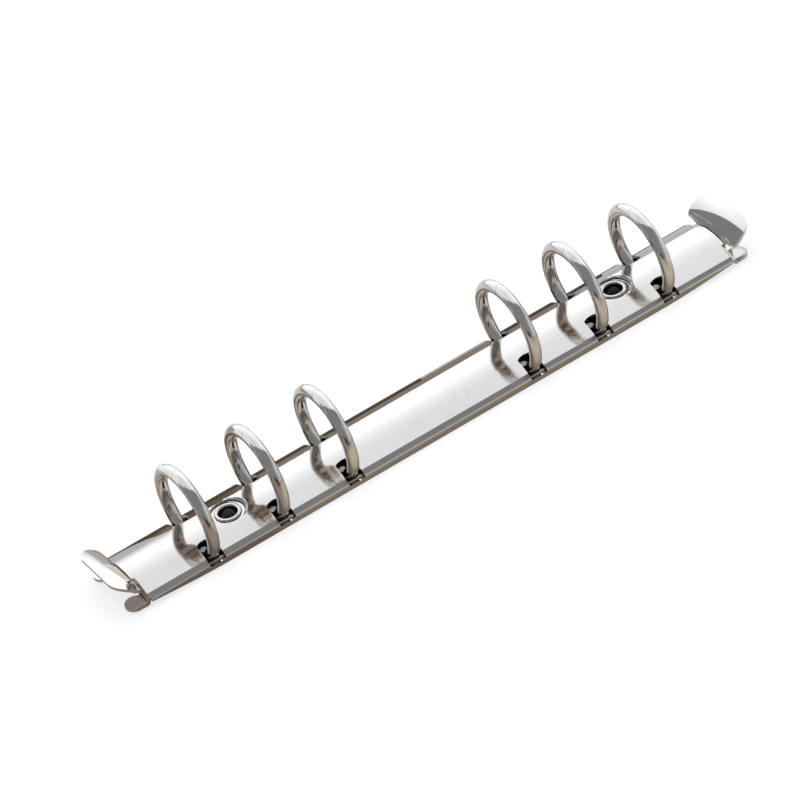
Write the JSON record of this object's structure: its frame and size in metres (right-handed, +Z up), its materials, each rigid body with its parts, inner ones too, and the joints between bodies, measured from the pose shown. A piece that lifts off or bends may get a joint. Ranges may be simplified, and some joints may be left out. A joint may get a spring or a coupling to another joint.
{
  "type": "ring binder mechanism",
  "caption": "Ring binder mechanism: an arched metal housing with split rings in two groups, an opening lever at each end and eyelets for fixing it in a cover.",
  "frame": {"origin": "centre of the plane that the housing's lower edges stand on", "axes": "+X along the housing towards the right lever, +Y towards the far half rings, +Z up out of the cover"},
  "size_m": [0.1776, 0.0244, 0.0227],
  "materials": {
    "ring_plating": "bright nickel plate",
    "hinge_plate_plating": "satin nickel plate",
    "lever_pin_steel": "plain steel",
    "lever_plating": "bright nickel plate",
    "eyelet_plating": "bright nickel plate",
    "housing_plating": "bright nickel plate"
  },
  "bodies": {
    "housing": {"housing": "housing_plating", "left_eyelet": "eyelet_plating", "right_eyelet": "eyelet_plating", "left_lever_pin": "lever_pin_steel", "right_lever_pin": "lever_pin_steel"},
    "near_leaf": {"near_plate": "hinge_plate_plating", "near_ring_1": "ring_plating", "near_ring_2": "ring_plating", "near_ring_3": "ring_plating", "near_ring_4": "ring_plating", "near_ring_5": "ring_plating", "near_ring_6": "ring_plating"},
    "far_leaf": {"far_plate": "hinge_plate_plating", "far_ring_1": "ring_plating", "far_ring_2": "ring_plating", "far_ring_3": "ring_plating", "far_ring_4": "ring_plating", "far_ring_5": "ring_plating", "far_ring_6": "ring_plating"},
    "left_lever": {"left_lever": "lever_plating"},
    "right_lever": {"right_lever": "lever_plating"}
  },
  "joints": [
    {"name": "near_leaf_hinge", "type": "hinge", "parent": "housing", "child": "near_leaf", "pos_m": [0, -0.0088, 0.0014], "axis": [1, 0, 0], "range_deg": [0, 14]},
    {"name": "far_leaf_hinge", "type": "hinge", "parent": "housing", "child": "far_leaf", "pos_m": [0, 0.0088, 0.0014], "axis": [1, 0, 0], "range_deg": [-14, 0]},
    {"name": "left_lever_hinge", "type": "hinge", "parent": "housing", "child": "left_lever", "pos_m": [-0.0805, 0, 0.0015], "axis": [0, 1, 0], "range_deg": [-26, 0]},
    {"name": "right_lever_hinge", "type": "hinge", "parent": "housing", "child": "right_lever", "pos_m": [0.0805, 0, 0.0015], "axis": [0, 1, 0], "range_deg": [0, 26]}
  ],
  "couplings": [
    {"joint": "far_leaf_hinge", "follows": "near_leaf_hinge", "ratio": -1},
    {"joint": "left_lever_hinge", "follows": "near_leaf_hinge", "ratio": -1.857},
    {"joint": "right_lever_hinge", "follows": "near_leaf_hinge", "ratio": 1.857}
  ]
}
